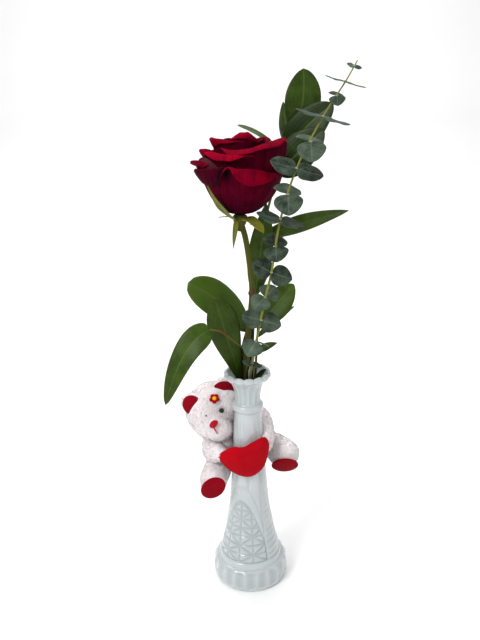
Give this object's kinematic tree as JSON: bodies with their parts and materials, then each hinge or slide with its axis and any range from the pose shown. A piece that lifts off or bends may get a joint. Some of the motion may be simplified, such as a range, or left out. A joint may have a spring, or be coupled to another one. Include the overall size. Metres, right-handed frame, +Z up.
{
  "type": "rose in a bud vase",
  "caption": "Cut red rose standing in a tall fluted milk-glass bud vase with eucalyptus and ruscus sprigs, and a small plush bear with a stuffed heart hugging the vase",
  "frame": {"origin": "centre of the vase's flat underside", "axes": "+Z up along the vase's axis, the front that the picture shows along -Y, the object's right along +X"},
  "size_m": [0.1678, 0.1185, 0.4982],
  "materials": {
    "milk_glass": "glossy opaque white pressed glass",
    "water": "clear water",
    "petal": "velvety deep red petal",
    "rose_green": "satin green-brown stem and sepals",
    "eucalyptus": "waxy grey-green leaf",
    "ruscus": "semi-gloss dark green leaf",
    "plush": "short white plush fur",
    "red_felt": "soft red plush felt",
    "eye": "glossy black bead",
    "yellow_felt": "yellow felt dot"
  },
  "bodies": {
    "root": {"vase": "milk_glass", "water": "water", "rose_bloom": "petal", "rose_stem": "rose_green", "eucalyptus_sprig": "eucalyptus", "ruscus_tall": "ruscus", "ruscus_left": "ruscus", "ruscus_right": "ruscus", "ruscus_front": "ruscus", "bear_head": "plush", "bear_ear_lining_left": "red_felt", "bear_ear_lining_right": "red_felt", "bear_nose": "red_felt", "bear_eye_left": "eye", "bear_eye_right": "eye", "bear_flower": "red_felt", "bear_flower_centre": "yellow_felt", "bear_heart": "red_felt", "bear_leg_left": "plush", "bear_leg_right": "plush", "bear_arm_left": "plush", "bear_arm_right": "plush", "bear_sole_left": "red_felt", "bear_sole_right": "red_felt", "bear_torso": "plush"}
  },
  "joints": []
}
